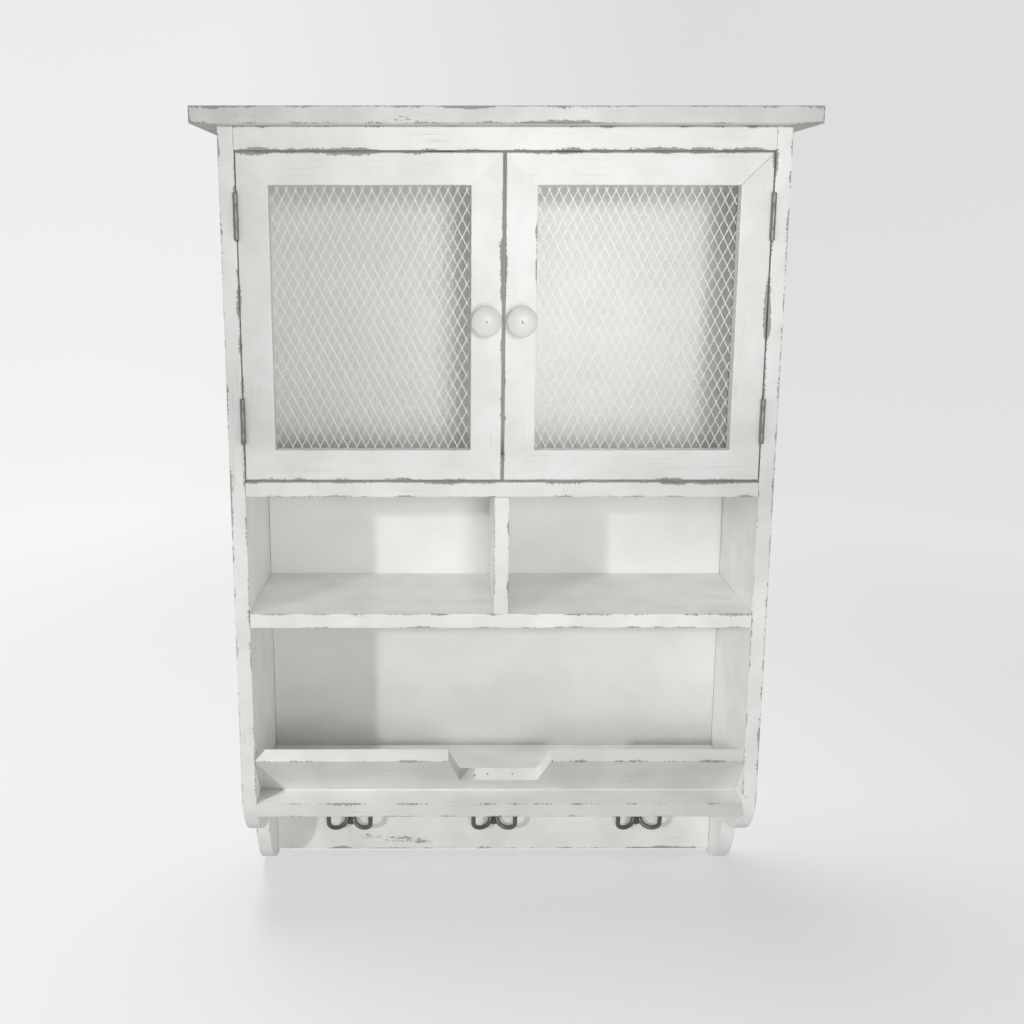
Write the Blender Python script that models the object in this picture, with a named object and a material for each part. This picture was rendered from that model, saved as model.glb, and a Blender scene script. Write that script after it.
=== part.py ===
"""Painted wooden wall cabinet with diamond-mesh doors, two cubbies, a letter tray and three double hooks.

Metres, +Z up. The origin lies on the wall plane, centred, at the height of the wall screws. The front faces -Y.
"""

import math

import bmesh
import bpy
from mathutils import Matrix, Vector

# Carcass
BODY_WIDTH = 0.545
BOARD = 0.015
INNER_DEPTH = 0.1595
BACK_PANEL = 0.005
SEAT_GAP = 0.0003

# Cornice board on top
CORNICE_THICKNESS = 0.016
CORNICE_SIDE_OVERHANG = 0.0218
CORNICE_FRONT_OVERHANG = 0.0245
CORNICE_EASE = 0.001

# Bays, from the top down
TOP_RAIL_HEIGHT = 0.0223
DOOR_BAY_HEIGHT = 0.3205
CUBBY_HEIGHT = 0.1225
TRAY_BAY_HEIGHT = 0.1947
HANGING_RAIL_HEIGHT = 0.044

# Lobed feet of the side panels
FRONT_LOBE_START = 0.010
FRONT_LOBE_RUN = 0.085
FRONT_LOBE_DROP = 0.068
REAR_LOBE_DROP = 0.078
LOBE_STEPS = 12

# Letter tray
TRAY_RISE = 0.048
TRAY_LEAN = math.radians(36.0)
NOTCH_TOP_WIDTH = 0.108
NOTCH_LOW_WIDTH = 0.083
NOTCH_DEPTH = 0.039

# Hook rail and hooks
HOOK_RAIL_HEIGHT = 0.114
HOOK_END_INSET = 0.0877
HOOK_PLATE_WIDTH = 0.0125
HOOK_PLATE_HEIGHT = 0.044
HOOK_PLATE_THICKNESS = 0.003
HOOK_PLATE_RISE = 0.0327
HOOK_WIRE = 0.0056
HOOK_BEND = 0.01025
HOOK_BEND_RISE = 0.0097
HOOK_ARM_SPACING = 0.0037
HOOK_TIP_RISE = 0.014
HOOK_PROJECTION = 0.021
HOOK_ROOT_LENGTH = 0.006
HOOK_BEND_STEPS = 9
HOOK_BEND_FLATNESS = 0.9
HOOK_TIP_TAPER = 0.8
HOOK_SWEEP = 1.2

# Doors
DOOR_SIDE_GAP = 0.0015
DOOR_MEETING_GAP = 0.0035
DOOR_TOP_GAP = 0.002
DOOR_BOTTOM_GAP = 0.0027
DOOR_FRAME_WIDTH = 0.030
DOOR_FRAME_THICKNESS = 0.015

# Diamond mesh, two layers of strands held in an edge band behind the door frame
DIAMOND_WIDTH = 0.0092
DIAMOND_HEIGHT = 0.0179
STRAND_WIDTH = 0.0011
STRAND_THICKNESS = 0.0008
STRAND_LAYER_GAP = 0.0003
MESH_SKIN = 0.0002
MESH_OVERLAP = 0.009
MESH_BAND_WIDTH = 0.007

# Hinges
HINGE_LENGTH = 0.0445
HINGE_END_OFFSET = 0.0592
HINGE_END_KNUCKLE = 0.011
LEAF_WIDTH = 0.0125
LEAF_THICKNESS = 0.0009
LEAF_CLEARANCE = 0.0003
KNUCKLE_DIAMETER = 0.005
PIN_DIAMETER = 0.0022
KNUCKLE_STANDOFF = 0.0003
TURN_SEGMENTS = 16

# Knobs
KNOB_INSET = 0.0155
KNOB_DIAMETER = 0.0295
KNOB_NECK_DIAMETER = 0.0145
KNOB_BASE_DIAMETER = 0.018
KNOB_NECK_HEIGHT = 0.009
KNOB_HEAD_HEIGHT = 0.015
KNOB_BASE_HEIGHT = 0.0018
KNOB_COLLAR_HEIGHT = 0.0045
KNOB_UNDERCUT = 0.0048
KNOB_EQUATOR = 0.006
KNOB_SEGMENTS = 24
SCREW_DIAMETER = 0.004
SCREW_HEAD_DIAMETER = 0.0075
SCREW_HEAD_HEIGHT = 0.0025
SCREW_BITE = 0.011

# Magnetic catches
CATCH_WIDTH = 0.032
CATCH_DEPTH = 0.012
CATCH_GRIP = 0.014
CATCH_DROP = 0.014
CATCH_FROM_CENTRE = 0.060
STRIKE_WIDTH = 0.024
STRIKE_HEIGHT = 0.009
STRIKE_THICKNESS = 0.001

# Positions that follow from the sizes above
WALL_Y = 0.0
PANEL_Y = WALL_Y - BACK_PANEL
FRONT_Y = PANEL_Y - INNER_DEPTH
SHELF_BACK_Y = PANEL_Y - SEAT_GAP
INNER_X = BODY_WIDTH / 2 - BOARD
SHELF_X = INNER_X - SEAT_GAP
CORNICE_LOW = HANGING_RAIL_HEIGHT / 2
CARCASS_TOP = CORNICE_LOW - SEAT_GAP
TOP_RAIL_LOW = CORNICE_LOW - TOP_RAIL_HEIGHT
DOOR_SHELF_TOP = TOP_RAIL_LOW - DOOR_BAY_HEIGHT
DOOR_SHELF_LOW = DOOR_SHELF_TOP - BOARD
CUBBY_SHELF_TOP = DOOR_SHELF_LOW - CUBBY_HEIGHT
CUBBY_SHELF_LOW = CUBBY_SHELF_TOP - BOARD
BOTTOM_SHELF_TOP = CUBBY_SHELF_LOW - TRAY_BAY_HEIGHT
BOTTOM_SHELF_LOW = BOTTOM_SHELF_TOP - BOARD
HOOK_RAIL_LOW = BOTTOM_SHELF_LOW - HOOK_RAIL_HEIGHT
DOOR_TOP = TOP_RAIL_LOW - DOOR_TOP_GAP
DOOR_LOW = DOOR_SHELF_TOP + DOOR_BOTTOM_GAP
DOOR_OUTER_X = INNER_X - DOOR_SIDE_GAP
DOOR_MEETING_X = DOOR_MEETING_GAP / 2
DOOR_BACK_Y = FRONT_Y + DOOR_FRAME_THICKNESS
HINGE_X = INNER_X - DOOR_SIDE_GAP / 2
HINGE_Y = FRONT_Y - KNUCKLE_DIAMETER / 2 - KNUCKLE_STANDOFF
HINGE_CENTRES = {
    "upper": DOOR_TOP - HINGE_END_OFFSET,
    "lower": DOOR_LOW + HINGE_END_OFFSET,
}
SIDES = {"left": -1, "right": 1}


def clear_scene():
    for obj in list(bpy.data.objects):
        bpy.data.objects.remove(obj, do_unlink=True)


def finish(name, colour, roughness, metallic):
    """A plain material of this colour (linear RGB)."""
    material = bpy.data.materials.new(name)
    material.use_nodes = True
    shader = material.node_tree.nodes["Principled BSDF"]
    shader.inputs["Base Color"].default_value = (*colour, 1.0)
    shader.inputs["Roughness"].default_value = roughness
    shader.inputs["Metallic"].default_value = metallic
    return material


def mesh_from(bm, name):
    bmesh.ops.recalc_face_normals(bm, faces=bm.faces)
    mesh = bpy.data.meshes.new(name)
    bm.to_mesh(mesh)
    bm.free()
    return mesh


def piece(name, mesh, material, carrier=None):
    """One named part. Its mesh is in world coordinates, and a carrier becomes its origin and parent."""
    obj = bpy.data.objects.new(name, mesh)
    bpy.context.scene.collection.objects.link(obj)
    mesh.materials.append(material)
    if carrier:
        mesh.transform(Matrix.Translation(-carrier.location))
        obj.parent = carrier
    return obj


def combine(obj, mesh, operation):
    """Cuts a helper shape, given in world coordinates, from a piece or joins it on."""
    helper = bpy.data.objects.new(f"{obj.name}_helper_{len(obj.modifiers)}", mesh)
    bpy.context.scene.collection.objects.link(helper)
    if obj.parent:
        mesh.transform(Matrix.Translation(-obj.parent.location))
        helper.parent = obj.parent
    helper.hide_render = True
    helper.display_type = "WIRE"
    modifier = obj.modifiers.new(operation.lower(), "BOOLEAN")
    modifier.operation = operation
    modifier.object = helper


def smooth(mesh):
    mesh.shade_smooth()
    mesh.set_sharp_from_angle(angle=math.radians(35))


def box(low, high):
    bm = bmesh.new()
    low = Vector(low)
    high = Vector(high)
    place = Matrix.Translation((low + high) / 2) @ Matrix.Diagonal((*(high - low), 1.0))
    bmesh.ops.create_cube(bm, size=1.0, matrix=place)
    return mesh_from(bm, "box")


def prism_bmesh(outline, sweep):
    """A flat outline carried along a straight sweep."""
    bm = bmesh.new()
    face = bm.faces.new([bm.verts.new(point) for point in outline])
    raised = bmesh.ops.extrude_face_region(bm, geom=[face])
    moved = [item for item in raised["geom"] if isinstance(item, bmesh.types.BMVert)]
    bmesh.ops.translate(bm, verts=moved, vec=sweep)
    return bm


def prism(outline, sweep):
    return mesh_from(prism_bmesh(outline, sweep), "prism")


def turned(profile, centre, axis, segments):
    """A profile of (radius, height) points, spun about the axis."""
    turn = Vector((0, 0, 1)).rotation_difference(axis).to_matrix()
    bm = bmesh.new()
    points = [bm.verts.new(centre + turn @ Vector((radius, 0, height))) for radius, height in profile]
    edges = [bm.edges.new(pair) for pair in zip(points, points[1:])]
    bmesh.ops.spin(
        bm, geom=points + edges, cent=centre, axis=axis, angle=math.tau, steps=segments, use_merge=True
    )
    bmesh.ops.remove_doubles(bm, verts=bm.verts, dist=1e-6)
    mesh = mesh_from(bm, "turned")
    smooth(mesh)
    return mesh


def rod(start, end, diameter, segments):
    run = end - start
    profile = [(0, 0), (diameter / 2, 0), (diameter / 2, run.length), (0, run.length)]
    return turned(profile, start, run.normalized(), segments)


def quarter_lobe(start, end):
    """Points of a convex quarter ellipse that leaves start straight down and reaches end level."""
    points = []
    for step in range(1, LOBE_STEPS + 1):
        angle = math.pi / 2 * step / LOBE_STEPS
        y = end[0] + (start[0] - end[0]) * math.cos(angle)
        z = start[1] + (end[1] - start[1]) * math.sin(angle)
        points.append((y, z))
    return points


def side_panel(name, side, material):
    """Full-height board whose foot has a front lobe, a cusp and a lower rear lobe."""
    start = (FRONT_Y, BOTTOM_SHELF_TOP + FRONT_LOBE_START)
    cusp = (FRONT_Y + FRONT_LOBE_RUN, start[1] - FRONT_LOBE_DROP)
    heel = (WALL_Y, cusp[1] - REAR_LOBE_DROP)
    outline = [(FRONT_Y, CARCASS_TOP), start]
    outline += quarter_lobe(start, cusp)
    outline += quarter_lobe(cusp, heel)
    outline.append((WALL_Y, CARCASS_TOP))
    points = [Vector((side * INNER_X, y, z)) for y, z in outline]
    panel = piece(name, prism(points, Vector((side * BOARD, 0, 0))), material)
    for centre in HINGE_CENTRES.values():
        combine(panel, leaf_mortise(side, centre, outward=1), "DIFFERENCE")


def shelf(name, top, material):
    piece(name, box((-SHELF_X, FRONT_Y, top - BOARD), (SHELF_X, SHELF_BACK_Y, top)), material)


def cornice(material):
    half = BODY_WIDTH / 2 + CORNICE_SIDE_OVERHANG
    low = (-half, FRONT_Y - CORNICE_FRONT_OVERHANG, CORNICE_LOW)
    high = (half, WALL_Y, CORNICE_LOW + CORNICE_THICKNESS)
    board = piece("cornice_board", box(low, high), material)
    ease = board.modifiers.new("eased edges", "BEVEL")
    ease.width = CORNICE_EASE
    ease.segments = 2


def tray_front(material):
    """Board that leans out at the top, square on its upper edge and cut level where it stands on the shelf."""
    down = Vector((0, math.sin(TRAY_LEAN), -math.cos(TRAY_LEAN)))
    back = Vector((0, math.cos(TRAY_LEAN), math.sin(TRAY_LEAN)))
    top = Vector((0, FRONT_Y, BOTTOM_SHELF_TOP + TRAY_RISE))
    length = (TRAY_RISE + BOARD) / math.cos(TRAY_LEAN)
    outline = [(-SHELF_X, 0), (-NOTCH_TOP_WIDTH / 2, 0), (-NOTCH_LOW_WIDTH / 2, NOTCH_DEPTH)]
    outline += [(-x, depth) for x, depth in reversed(outline)]
    outline += [(SHELF_X, length), (-SHELF_X, length)]
    points = [top + Vector((x, 0, 0)) + down * depth for x, depth in outline]
    bm = prism_bmesh(points, back * BOARD)
    cut = bmesh.ops.bisect_plane(
        bm,
        geom=bm.verts[:] + bm.edges[:] + bm.faces[:],
        plane_co=(0, 0, BOTTOM_SHELF_TOP + SEAT_GAP),
        plane_no=(0, 0, -1),
        clear_outer=True,
    )
    rim = [item for item in cut["geom_cut"] if isinstance(item, bmesh.types.BMEdge)]
    bmesh.ops.edgeloop_fill(bm, edges=rim)
    piece("tray_front", mesh_from(bm, "tray_front"), material)


def hook_arm(centre, side):
    """Wire that leaves the plate above its lower end, bends down, outwards and up, and leans away from the rail."""
    reach = HOOK_ARM_SPACING + 2 * HOOK_BEND
    low = centre.z - HOOK_PLATE_HEIGHT / 2 + HOOK_BEND_RISE
    path = [(HOOK_ARM_SPACING, low + HOOK_ROOT_LENGTH)]
    for step in range(HOOK_BEND_STEPS + 1):
        angle = math.pi * step / HOOK_BEND_STEPS
        x = HOOK_ARM_SPACING + HOOK_BEND * (1 - math.cos(angle))
        path.append((x, low - HOOK_BEND * HOOK_BEND_FLATNESS * math.sin(angle)))
    path.append((reach, low + HOOK_TIP_RISE / 2))
    path.append((reach, low + HOOK_TIP_RISE))
    curve = bpy.data.curves.new("hook_arm", "CURVE")
    curve.dimensions = "3D"
    curve.bevel_depth = HOOK_WIRE / 2
    curve.bevel_resolution = 2
    curve.use_fill_caps = True
    spline = curve.splines.new("POLY")
    spline.points.add(len(path) - 1)
    last = len(path) - 1
    for index, (x, z) in enumerate(path):
        forward = HOOK_PROJECTION * (index / last) ** HOOK_SWEEP
        spline.points[index].co = (centre.x + side * x, centre.y - forward, z, 1.0)
        spline.points[index].radius = HOOK_TIP_TAPER if index == last else 1.0
    guide = bpy.data.objects.new("hook_arm", curve)
    bpy.context.scene.collection.objects.link(guide)
    bpy.context.view_layer.update()
    mesh = bpy.data.meshes.new_from_object(guide.evaluated_get(bpy.context.evaluated_depsgraph_get()))
    bpy.data.objects.remove(guide, do_unlink=True)
    bm = bmesh.new()
    bm.from_mesh(mesh)
    bmesh.ops.remove_doubles(bm, verts=bm.verts, dist=1e-6)
    return mesh_from(bm, "hook_arm")


def hook(name, x, material):
    """Cast double hook: a round-ended plate with two upturned arms."""
    centre = Vector((x, WALL_Y - BOARD - SEAT_GAP, HOOK_RAIL_LOW + HOOK_PLATE_RISE + HOOK_PLATE_HEIGHT / 2))
    radius = HOOK_PLATE_WIDTH / 2
    outline = []
    for end in (1, -1):
        middle = centre + Vector((0, 0, end * (HOOK_PLATE_HEIGHT / 2 - radius)))
        for step in range(0, 9):
            angle = math.pi * step / 8
            outline.append(middle + end * radius * Vector((math.cos(angle), 0, math.sin(angle))))
    plate = piece(name, prism(outline, Vector((0, -HOOK_PLATE_THICKNESS, 0))), material)
    arm_root = centre + Vector((0, -HOOK_PLATE_THICKNESS, 0))
    for side in SIDES.values():
        combine(plate, hook_arm(arm_root, side), "UNION")


def leaf_mortise(side, centre, outward):
    """Shallow bed for a hinge leaf, in the side panel (outward 1) or the door edge (outward -1)."""
    depth = LEAF_CLEARANCE / 2 + LEAF_THICKNESS + SEAT_GAP
    half = HINGE_LENGTH / 2 + SEAT_GAP
    edges = sorted((side * HINGE_X, side * (HINGE_X + outward * depth)))
    back = FRONT_Y + LEAF_WIDTH + SEAT_GAP
    low = (edges[0], FRONT_Y - LEAF_WIDTH, centre - half)
    return box(low, (edges[1], back, centre + half))


def hinge_leaf(name, side, centre, outward, knuckles, material, carrier=None):
    """Stamped leaf with its rolled knuckles. The plate is cut back beside the other leaf's knuckles."""
    axis = Vector((side * HINGE_X, HINGE_Y, 0))
    cut_back = HINGE_Y + KNUCKLE_DIAMETER / 2 + KNUCKLE_STANDOFF
    inner = side * (HINGE_X + outward * LEAF_CLEARANCE / 2)
    outer = inner + side * outward * LEAF_THICKNESS
    edges = sorted((inner, outer))
    half = HINGE_LENGTH / 2
    plate = box((edges[0], cut_back, centre - half), (edges[1], FRONT_Y + LEAF_WIDTH, centre + half))
    leaf = piece(name, plate, material, carrier)
    for low, high in knuckles:
        start = axis + Vector((0, 0, centre + low))
        end = axis + Vector((0, 0, centre + high))
        tab = box((edges[0], HINGE_Y + PIN_DIAMETER / 2, start.z), (edges[1], cut_back + LEAF_WIDTH / 2, end.z))
        combine(leaf, tab, "UNION")
        combine(leaf, rod(start, end, KNUCKLE_DIAMETER, TURN_SEGMENTS), "UNION")
    bore_low = axis + Vector((0, 0, centre - HINGE_LENGTH))
    bore_high = axis + Vector((0, 0, centre + HINGE_LENGTH))
    combine(leaf, rod(bore_low, bore_high, PIN_DIAMETER + 2 * SEAT_GAP, TURN_SEGMENTS), "DIFFERENCE")


def hinge(side_name, side, place, centre, carrier, material):
    """Butt hinge: a fixed leaf with two end knuckles, a door leaf with the middle one, and the pin."""
    half = HINGE_LENGTH / 2
    inner = half - HINGE_END_KNUCKLE
    ends = [(-half, -inner), (inner, half)]
    middle = [(-inner + SEAT_GAP, inner - SEAT_GAP)]
    name = f"{side_name}_{place}_hinge"
    hinge_leaf(f"{name}_frame_leaf", side, centre, 1, ends, material)
    hinge_leaf(f"{side_name}_door_{place}_hinge_leaf", side, centre, -1, middle, material, carrier)
    axis = Vector((side * HINGE_X, HINGE_Y, centre))
    reach = Vector((0, 0, half))
    piece(f"{name}_pin", rod(axis - reach, axis + reach, PIN_DIAMETER, TURN_SEGMENTS), material)


def mitred_frame(side_name, side, carrier, material):
    """Four door members with 45 degree corners. Returns them by name."""
    outer = side * DOOR_OUTER_X
    inner = side * DOOR_MEETING_X
    step = side * DOOR_FRAME_WIDTH
    slack = side * SEAT_GAP
    shapes = {
        "hinge_stile": [
            (outer, DOOR_LOW),
            (outer, DOOR_TOP),
            (outer - step, DOOR_TOP - DOOR_FRAME_WIDTH),
            (outer - step, DOOR_LOW + DOOR_FRAME_WIDTH),
        ],
        "meeting_stile": [
            (inner, DOOR_LOW),
            (inner, DOOR_TOP),
            (inner + step, DOOR_TOP - DOOR_FRAME_WIDTH),
            (inner + step, DOOR_LOW + DOOR_FRAME_WIDTH),
        ],
        "top_rail": [
            (inner + slack, DOOR_TOP),
            (outer - slack, DOOR_TOP),
            (outer - step - slack, DOOR_TOP - DOOR_FRAME_WIDTH),
            (inner + step + slack, DOOR_TOP - DOOR_FRAME_WIDTH),
        ],
        "bottom_rail": [
            (inner + slack, DOOR_LOW),
            (outer - slack, DOOR_LOW),
            (outer - step - slack, DOOR_LOW + DOOR_FRAME_WIDTH),
            (inner + step + slack, DOOR_LOW + DOOR_FRAME_WIDTH),
        ],
    }
    members = {}
    for member, outline in shapes.items():
        points = [Vector((x, FRONT_Y, z)) for x, z in outline]
        mesh = prism(points, Vector((0, DOOR_FRAME_THICKNESS, 0)))
        members[member] = piece(f"{side_name}_door_{member}", mesh, material, carrier)
    return members


def strands(half_width, half_height, front):
    """Straight strands that run from band to band in two crossing layers, as the stretched diamonds lie."""
    slope = DIAMOND_WIDTH / DIAMOND_HEIGHT
    window_width = half_width - MESH_BAND_WIDTH
    window_height = half_height - MESH_BAND_WIDTH
    end_width = half_width - MESH_BAND_WIDTH / 2
    end_height = half_height - MESH_BAND_WIDTH / 2
    count = math.ceil((half_width + slope * half_height) / DIAMOND_WIDTH)
    bm = bmesh.new()
    for layer, lean in enumerate((1, -1)):
        y = front + MESH_SKIN + STRAND_THICKNESS / 2 + layer * (STRAND_THICKNESS + STRAND_LAYER_GAP)
        for index in range(-count, count + 1):
            offset = (index + 0.5) * DIAMOND_WIDTH

            def clip(width, height):
                crossings = sorted(lean * (edge - offset) / slope for edge in (-width, width))
                return max(-height, crossings[0]), min(height, crossings[1])

            shown = clip(window_width, window_height)
            if shown[1] - shown[0] < 4 * STRAND_WIDTH:
                continue
            low, high = clip(end_width, end_height)
            start = Vector((offset + lean * slope * low, y, low))
            end = Vector((offset + lean * slope * high, y, high))
            turn = Matrix.Rotation(math.atan2(lean * slope, 1), 4, "Y")
            size = Matrix.Diagonal((STRAND_WIDTH, STRAND_THICKNESS, (end - start).length, 1.0))
            bmesh.ops.create_cube(bm, size=1.0, matrix=Matrix.Translation((start + end) / 2) @ turn @ size)
    return bm


def door_mesh(side_name, side, carrier, material):
    """Diamond mesh sheet with its edge band, fixed flat on the back of the door frame."""
    centre = Vector((side * (DOOR_OUTER_X + DOOR_MEETING_X) / 2, 0, (DOOR_TOP + DOOR_LOW) / 2))
    half_width = (DOOR_OUTER_X - DOOR_MEETING_X) / 2 - DOOR_FRAME_WIDTH + MESH_OVERLAP
    half_height = (DOOR_TOP - DOOR_LOW) / 2 - DOOR_FRAME_WIDTH + MESH_OVERLAP
    front = DOOR_BACK_Y + SEAT_GAP
    back = front + 2 * (STRAND_THICKNESS + MESH_SKIN) + STRAND_LAYER_GAP
    low = Vector((centre.x - half_width, front, centre.z - half_height))
    high = Vector((centre.x + half_width, back, centre.z + half_height))
    sheet = piece(f"{side_name}_door_mesh", box(low, high), material, carrier)
    window = Vector((MESH_BAND_WIDTH, -MESH_BAND_WIDTH, MESH_BAND_WIDTH))
    combine(sheet, box(low + window, high - window), "DIFFERENCE")
    bm = strands(half_width, half_height, front)
    bmesh.ops.translate(bm, verts=bm.verts, vec=centre)
    combine(sheet, mesh_from(bm, "strands"), "UNION")


def knob(side_name, side, stile, carrier, wood, steel):
    """Turned mushroom knob held by a countersunk screw through the meeting stile."""
    axis = Vector((0, -1, 0))
    x = side * (DOOR_MEETING_X + KNOB_INSET)
    seat = Vector((x, FRONT_Y - SEAT_GAP, (DOOR_TOP + DOOR_LOW) / 2))
    bore = SCREW_DIAMETER / 2 + SEAT_GAP
    equator = KNOB_NECK_HEIGHT + KNOB_EQUATOR
    profile = [(0, SCREW_BITE), (bore, SCREW_BITE), (bore, 0), (KNOB_BASE_DIAMETER / 2, 0)]
    profile.append((KNOB_BASE_DIAMETER / 2, KNOB_BASE_HEIGHT))
    profile.append((KNOB_NECK_DIAMETER / 2, KNOB_COLLAR_HEIGHT))
    profile.append((KNOB_NECK_DIAMETER / 2, KNOB_NECK_HEIGHT))
    for step in range(0, 4):
        angle = math.pi / 2 * (1 - step / 3)
        grow = KNOB_NECK_DIAMETER / 2 + (KNOB_DIAMETER - KNOB_NECK_DIAMETER) / 2 * math.cos(angle)
        profile.append((grow, equator - KNOB_UNDERCUT * math.sin(angle)))
    top = KNOB_NECK_HEIGHT + KNOB_HEAD_HEIGHT
    for step in range(1, 7):
        angle = math.pi / 2 * step / 6
        profile.append((KNOB_DIAMETER / 2 * math.cos(angle), equator + (top - equator) * math.sin(angle)))
    piece(f"{side_name}_door_knob", turned(profile, seat, axis, KNOB_SEGMENTS), wood, carrier)
    head = Vector((x, DOOR_BACK_Y - SEAT_GAP, seat.z))
    tip = (head.y - seat.y) + SCREW_BITE - 2 * SEAT_GAP
    shank = SCREW_DIAMETER / 2
    screw = [(0, 0), (SCREW_HEAD_DIAMETER / 2, 0), (shank, SCREW_HEAD_HEIGHT), (shank, tip), (0, tip)]
    piece(f"{side_name}_door_knob_screw", turned(screw, head, axis, TURN_SEGMENTS), steel, carrier)
    sink = SCREW_HEAD_DIAMETER / 2 + SEAT_GAP
    hole = [(0, -BOARD), (sink, -BOARD), (sink, 0), (bore, SCREW_HEAD_HEIGHT), (bore, 2 * tip), (0, 2 * tip)]
    combine(stile, turned(hole, head, axis, TURN_SEGMENTS), "DIFFERENCE")


def catch(side_name, side, carrier, plastic, steel):
    """Magnetic catch on the back of the top rail, which also stops the door, and its strike on the door."""
    middle = side * CATCH_FROM_CENTRE
    rail_back = FRONT_Y + BOARD + SEAT_GAP
    magnet = DOOR_BACK_Y + STRIKE_THICKNESS + 2 * SEAT_GAP
    back = rail_back + CATCH_DEPTH
    low = TOP_RAIL_LOW - CATCH_DROP
    high = TOP_RAIL_LOW + CATCH_GRIP
    outline = [(rail_back, high), (back, high), (back, low), (magnet, low)]
    outline += [(magnet, TOP_RAIL_LOW), (rail_back, TOP_RAIL_LOW)]
    points = [Vector((middle - CATCH_WIDTH / 2, y, z)) for y, z in outline]
    piece(f"{side_name}_catch", prism(points, Vector((CATCH_WIDTH, 0, 0))), plastic)
    strike_front = DOOR_BACK_Y + SEAT_GAP
    strike_low = DOOR_TOP - (CATCH_DROP - DOOR_TOP_GAP + STRIKE_HEIGHT) / 2
    corner = (middle - STRIKE_WIDTH / 2, strike_front, strike_low)
    far = (middle + STRIKE_WIDTH / 2, strike_front + STRIKE_THICKNESS, strike_low + STRIKE_HEIGHT)
    piece(f"{side_name}_door_strike", box(corner, far), steel, carrier)


def door(side_name, side, finishes):
    carrier = bpy.data.objects.new(f"{side_name}_door_axis", None)
    carrier.location = (side * HINGE_X, HINGE_Y, 0)
    bpy.context.scene.collection.objects.link(carrier)
    members = mitred_frame(side_name, side, carrier, finishes["paint"])
    door_mesh(side_name, side, carrier, finishes["mesh"])
    knob(side_name, side, members["meeting_stile"], carrier, finishes["paint"], finishes["steel"])
    for place, centre in HINGE_CENTRES.items():
        combine(members["hinge_stile"], leaf_mortise(side, centre, outward=-1), "DIFFERENCE")
        hinge(side_name, side, place, centre, carrier, finishes["hinge"])
    catch(side_name, side, carrier, finishes["plastic"], finishes["steel"])


def carcass(finishes):
    wood = finishes["paint"]
    cornice(wood)
    for side_name, side in SIDES.items():
        side_panel(f"{side_name}_side_panel", side, wood)
    back_low = BOTTOM_SHELF_LOW
    piece("back_panel", box((-SHELF_X, PANEL_Y, back_low), (SHELF_X, WALL_Y, CARCASS_TOP)), finishes["panel"])
    rail_low = (-SHELF_X, SHELF_BACK_Y - BOARD, CORNICE_LOW - HANGING_RAIL_HEIGHT)
    piece("hanging_rail", box(rail_low, (SHELF_X, SHELF_BACK_Y, CARCASS_TOP)), wood)
    piece("top_rail", box((-SHELF_X, FRONT_Y, TOP_RAIL_LOW), (SHELF_X, FRONT_Y + BOARD, CARCASS_TOP)), wood)
    shelf("door_shelf", DOOR_SHELF_TOP, wood)
    shelf("cubby_shelf", CUBBY_SHELF_TOP, wood)
    shelf("bottom_shelf", BOTTOM_SHELF_TOP, wood)
    low = (-BOARD / 2, FRONT_Y, CUBBY_SHELF_TOP + SEAT_GAP)
    piece("cubby_divider", box(low, (BOARD / 2, SHELF_BACK_Y, DOOR_SHELF_LOW - SEAT_GAP)), wood)
    tray_front(wood)
    rail_top = BOTTOM_SHELF_LOW - SEAT_GAP
    piece("hook_rail", box((-SHELF_X, WALL_Y - BOARD, HOOK_RAIL_LOW), (SHELF_X, WALL_Y, rail_top)), wood)
    for name, place in (("left", -1), ("middle", 0), ("right", 1)):
        hook(f"hook_{name}", place * (INNER_X - HOOK_END_INSET), finishes["iron"])


clear_scene()
FINISHES = {
    "paint": finish("chalk white paint", (0.76, 0.755, 0.73), 0.55, 0.0),
    "panel": finish("white back panel", (0.72, 0.715, 0.69), 0.6, 0.0),
    "mesh": finish("white enamelled mesh", (0.80, 0.80, 0.78), 0.45, 0.0),
    "iron": finish("dark cast iron", (0.065, 0.064, 0.062), 0.5, 0.9),
    "hinge": finish("dark hinge steel", (0.10, 0.095, 0.09), 0.45, 1.0),
    "steel": finish("zinc plated steel", (0.55, 0.55, 0.54), 0.35, 1.0),
    "plastic": finish("white catch plastic", (0.70, 0.70, 0.68), 0.4, 0.0),
}
carcass(FINISHES)
for door_side, sign in SIDES.items():
    door(door_side, sign, FINISHES)
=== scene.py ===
"""Looks of a white distressed wall cabinet with diamond-mesh doors, cubbies, a letter tray and double hooks."""

import math

import bmesh
import bpy
from mathutils import Matrix, Vector, noise


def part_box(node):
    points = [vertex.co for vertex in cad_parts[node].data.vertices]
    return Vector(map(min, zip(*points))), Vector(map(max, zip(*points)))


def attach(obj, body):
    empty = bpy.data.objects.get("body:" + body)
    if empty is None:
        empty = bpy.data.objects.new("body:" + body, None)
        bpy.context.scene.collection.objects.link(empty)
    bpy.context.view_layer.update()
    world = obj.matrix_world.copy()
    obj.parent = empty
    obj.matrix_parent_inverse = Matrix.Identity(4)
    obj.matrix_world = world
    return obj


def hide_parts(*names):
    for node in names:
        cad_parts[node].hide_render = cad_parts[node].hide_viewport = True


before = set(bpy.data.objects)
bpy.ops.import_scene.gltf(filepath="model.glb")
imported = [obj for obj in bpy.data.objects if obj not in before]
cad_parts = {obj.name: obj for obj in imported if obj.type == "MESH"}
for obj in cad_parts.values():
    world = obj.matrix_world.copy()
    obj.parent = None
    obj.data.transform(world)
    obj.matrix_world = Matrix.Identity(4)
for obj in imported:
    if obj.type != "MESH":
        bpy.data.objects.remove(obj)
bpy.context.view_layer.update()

MM = 0.001
X_AXIS = Vector((1, 0, 0))
Y_AXIS = Vector((0, 1, 0))
Z_AXIS = Vector((0, 0, 1))
SIDES = {"left": -1, "right": 1}

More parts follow.
